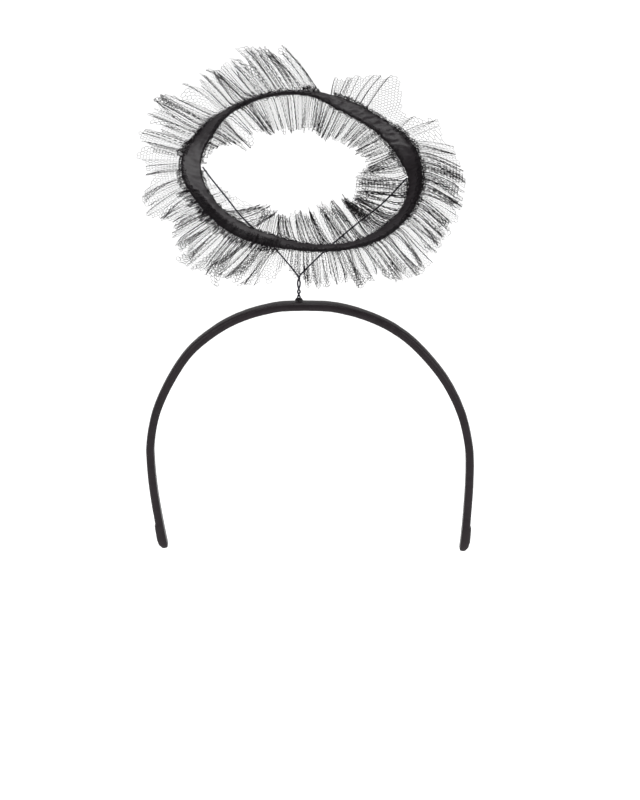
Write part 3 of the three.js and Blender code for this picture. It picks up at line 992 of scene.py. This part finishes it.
class MakeWires(bpy.types.Operator):
    """Models the two twisted wires and the bound root that they stand in"""

    bl_idname = "halo.make_wires"
    bl_label = "Wires"

    def tube(self, path, direction, radius, sides):
        """Sections of a round tube along a path."""
        turn = np.linspace(0, 2 * pi, sides, endpoint=False)
        normal = Vector(direction[0]).orthogonal().normalized()
        rows = []
        for centre, along in zip(path, direction):
            along = Vector(along)
            normal = (normal - along * normal.dot(along)).normalized()
            other = along.cross(normal)
            rows.append([Vector(centre) + (normal * np.cos(t) + other * np.sin(t)) * radius for t in turn])
        return np.array(rows)

    def execute(self, context):
        stem, ring, tulle = context.scene.halo_stem, context.scene.halo_ring, context.scene.halo_tulle
        paint = wire_material(tuple(context.scene.halo_finishes.wire))
        foot = np.array([stem.offset, 0, stem.foot_height])
        twist_radius = (stem.wire_diameter + stem.wire_gap) / 2
        arms = (
            # name, node, phase, angle, column of the bow, side of the bow
            ("left_wire_painted", "left_wire", 0.5, stem.left_angle, 1, -1),
            ("right_wire_painted", "right_wire", 0.0, stem.right_angle, 2, 1),
        )
        for name, node, phase, angle, column, side in arms:
            turn = 2 * pi * (TWIST[:, 1] + phase)
            spiral = np.stack([np.cos(turn), np.sin(turn), np.zeros_like(turn)], axis=1) * twist_radius
            points = list(foot + spiral + np.outer(TWIST[:, 0] * stem.length, (0, 0, 1)))
            inward = -(ring.width / 2 + tulle.seam_gap + stem.wire_diameter / 2)
            target = on_ring(ribbon_place(ring, np.degrees(angle), inward, 0.0), ring)
            fork = points[-1]
            arm = target - fork
            down = np.array([arm[2], 0, -arm[0]])
            down *= side * np.linalg.norm(arm) / np.linalg.norm(down)
            points += [fork + arm * row[0] + down * row[column] for row in ARM_BOW]
            points.append(target)
            path, direction, _ = smooth_path(points, WIRE_STEPS)
            bm = grid_mesh(self.tube(path, direction, stem.wire_diameter / 2, 12), True, False)
            add_piece(name, bm, paint, [node])
        # The root is a thread that is wound round the wires, from the band up, and narrows towards its top
        winds = 5
        steps = 40 * winds
        narrowing = 0.00075
        unevenness = 0.00012
        overlap = 1.15
        turn = np.linspace(0, 2 * pi * winds, steps)
        share = turn / turn[-1]
        thread = stem.root_height / (2 * winds)
        height = foot[2] + thread + (stem.root_height - 2 * thread) * share
        radius = stem.root_diameter / 2 - thread - narrowing * share**1.5
        radius += np.array([noise.noise(Vector((t / 2, 0.2, 0.9))) for t in turn]) * unevenness
        path = np.stack([foot[0] + radius * np.cos(turn), radius * np.sin(turn), height], axis=1)
        bm = grid_mesh(self.tube(path, directions(path), thread * overlap, 8), True, False)
        satin = satin_material("root_thread", tuple(context.scene.halo_finishes.ring_satin), 0.35, 0.14)
        add_piece("root_winding", bm, satin, ["stem_root"])
        return {"FINISHED"}


class MakeTulle(bpy.types.Operator):
    """Models the gathered tulle on both sides of the ring, as a net of threads"""

    bl_idname = "halo.make_tulle"
    bl_label = "Tulle"

    def execute(self, context):
        sizes, ring = context.scene.halo_tulle, context.scene.halo_ring
        net = tulle_material(tuple(context.scene.halo_finishes.tulle))
        for name, side, shape, tongues, start, end, node, seed in TULLE:
            plan = gather_plan(ring, tongues, start, end, seed)
            random = np.random.default_rng(seed + 50)

            def place(u, v):
                angle = plan["angle"](u)
                share = v / sizes.half_width
                lift = FOLD_LIFT * plan["own"]("lift", u) + steps_between(tongues, 4, angle)
                line = tulle_line(sizes, ring, shape, side, angle, v - sizes.tuck, lift)
                moved = [cut_edge_angle(tongues, angle + step) for step in (-0.2, 0, 0.2)]
                spread = 1 + share * ((moved[2] - moved[0]) / 0.4 - 1)
                back, rise = fold_offsets(plan, u, spread * np.abs(line[0]) / ring.radius)
                comb = sizes.comb + FOLD_COMB * plan["own"]("comb", u)
                back = back - comb * rise * np.cos(np.radians(angle))
                rise = rise + random.normal(0, KNOT_SPREAD, len(u))
                lean = steps_between(tongues, 5, angle) + FOLD_SWAY * plan["own"]("sway", u)
                sway = share * (moved[1] - angle + lean)
                sway += share * (share - 0.7) * FOLD_CURVE * plan["own"]("curve", u)
                angle = angle + sway + np.degrees(back / np.abs(line[0]))
                return on_ring(tulle_place(line, side, angle, rise), ring)

            def keep(u, v):
                angle = plan["angle"](u)
                tip = cut_edge_angle(tongues, angle) + steps_between(tongues, 5, angle)
                reach = table_value(shape, 1, tip) * sizes.half_width
                return v <= reach * (CUT_EDGE - CUT_UNEVEN * plan["own"]("trim", u) ** 2)

            width = sizes.half_width * shape[:, 1].max() * CUT_EDGE
            add_net(name, net, sizes, plan, width, place, keep, [node])
        return {"FINISHED"}


class MakeHeading(bpy.types.Operator):
    """Models the net that is bunched up along both edges of the ribbon"""

    bl_idname = "halo.make_heading"
    bl_label = "Heading"

    def execute(self, context):
        sizes, ring = context.scene.halo_tulle, context.scene.halo_ring
        net = bpy.data.materials["tulle_thread"]
        sides = (
            # name, side, shape, tongues, from, to, seed
            ("outer_heading", 1, OUTER, OUTER_TONGUES, 88, 440, 31),
            ("inner_heading_back", -1, INNER_BACK, INNER_BACK_TONGUES, 15, 187, 32),
            ("inner_heading_front", -1, INNER_FRONT, INNER_FRONT_TONGUES, 193, 369, 33),
        )
        for name, side, shape, tongues, start, end, seed in sides:
            plan = gather_plan(ring, tongues, start, end, seed, sizes.heading_fullness)
            random = np.random.default_rng(seed + 50)

            def place(u, v):
                angle = plan["angle"](u)
                much = steps_between(tongues, 6, angle)
                spread = np.clip((much - 1) / 2, 0, 1)
                size = np.minimum(0.6 + 0.4 * much, 1.2) * (1 + 0.2 * plan["own"]("lift", u))
                size = size * (1 - 0.6 * spread)
                trim = plan["own"]("trim", u)
                roll = pi * (3 * v / sizes.heading - 0.4)
                along = HEADING_ROLL * size * np.sin(roll) - sizes.tuck + HEADING_UNEVEN * size * trim
                # Where there is much of it, it spreads out from under the ribbon and back
                reach = sizes.heading_reach * spread * (0.75 + 0.5 * trim)
                there_and_back = 0.5 - np.cos(2 * pi * v / sizes.heading) / 2
                along += reach * there_and_back - 0.3 * sizes.heading_reach * spread
                line = tulle_line(sizes, ring, shape, side, angle, along)
                back, rise = fold_offsets(plan, u, np.abs(line[0]) / ring.radius)
                rise = rise * 0.8 + HEADING_RISE * size * np.cos(roll) + ring.thickness * spread
                angle = angle + np.degrees(back / np.abs(line[0])) + 0.4 * plan["own"]("sway", u)
                crumple = random.normal(0, HEADING_CRUMPLE, (len(u), 3))
                return on_ring(tulle_place(line, side, angle, rise), ring) + crumple

            add_net(name, net, sizes, plan, sizes.heading, place)
        return {"FINISHED"}


class MakeStage(bpy.types.Operator):
    """Sets up the floor, the lights and the camera"""

    bl_idname = "halo.make_stage"
    bl_label = "Stage"

    def execute(self, context):
        scene = context.scene
        finishes = scene.halo_finishes
        bm = bmesh.new()
        bmesh.ops.create_grid(bm, x_segments=1, y_segments=1, size=FLOOR_HALF)
        bmesh.ops.translate(bm, verts=bm.verts, vec=(0, FLOOR_BACK, FLOOR_HEIGHT))
        mesh = bpy.data.meshes.new("floor")
        bm.to_mesh(mesh)
        bm.free()
        paper, _, shader = new_material("floor_paper", roughness=0.9, emission_strength=0.64)
        shader.inputs["Base Color"].default_value = (*finishes.floor, 1)
        shader.inputs["Emission Color"].default_value = (1, 1, 1, 1)
        mesh.materials.append(paper)
        floor = bpy.data.objects.new("floor", mesh)
        scene.collection.objects.link(floor)
        world = bpy.data.worlds.new("studio")
        world.use_nodes = True
        world.node_tree.nodes["Background"].inputs["Color"].default_value = (1, 1, 1, 1)
        world.node_tree.nodes["Background"].inputs["Strength"].default_value = 0.5
        scene.world = world
        scene.view_settings.view_transform = "Standard"
        lights = (
            # name, place, size, watts
            ("left_softbox", (-1.2, -1.3, 0.9), 0.9, 17),
            ("right_softbox", (1.4, -1.0, 0.7), 0.8, 16),
            ("top_softbox", (0.0, 0.2, 1.6), 1.2, 22),
        )
        for name, place, size, watts in lights:
            lamp = bpy.data.lights.new(name, "AREA")
            lamp.size = size
            lamp.energy = watts
            light = bpy.data.objects.new(name, lamp)
            light.location = place
            light.rotation_euler = (-Vector(place)).to_track_quat("-Z", "Y").to_euler()
            scene.collection.objects.link(light)
        camera_data = bpy.data.cameras.new("camera")
        camera_data.sensor_fit = "HORIZONTAL"
        camera_data.sensor_width = SENSOR_WIDTH
        camera_data.lens = SENSOR_WIDTH * finishes.distance / VIEW_WIDTH
        camera_data.clip_end = 100
        camera = bpy.data.objects.new("camera", camera_data)
        aim = Vector((AIM_OFFSET, 0, finishes.aim_height))
        camera.location = aim + finishes.distance * Vector((0, -np.cos(VIEW_DOWN), np.sin(VIEW_DOWN)))
        camera.rotation_euler = (pi / 2 - VIEW_DOWN, 0, 0)
        scene.collection.objects.link(camera)
        scene.camera = camera
        return {"FINISHED"}


OPERATORS = (MakeStage, MakeWires, MakeBand, MakeRing, MakeTulle, MakeHeading)


class HaloPanel(bpy.types.Panel):
    """Lists the sizes, the colours and the pieces"""

    bl_idname = "VIEW3D_PT_halo_headband"
    bl_label = "Halo Headband"
    bl_space_type = "VIEW_3D"
    bl_region_type = "UI"
    bl_category = "Halo"

    def draw(self, context):
        for group, kind in GROUPS.items():
            box = self.layout.box()
            box.label(text=kind.__name__)
            for name in kind.__annotations__:
                box.prop(getattr(context.scene, group), name)
        for operator in OPERATORS:
            self.layout.operator(operator.bl_idname)


CLASSES = (*GROUPS.values(), *OPERATORS, HaloPanel)


def register():
    for kind in CLASSES:
        bpy.utils.register_class(kind)
    for name, kind in GROUPS.items():
        setattr(bpy.types.Scene, name, PointerProperty(type=kind))


def unregister():
    for name in GROUPS:
        delattr(bpy.types.Scene, name)
    for kind in reversed(CLASSES):
        bpy.utils.unregister_class(kind)


def main():
    register()
    bpy.ops.halo.make_stage()
    bpy.ops.halo.make_wires()
    bpy.ops.halo.make_band()
    bpy.ops.halo.make_ring()
    bpy.ops.halo.make_tulle()
    bpy.ops.halo.make_heading()


if __name__ == "__main__":
    main()
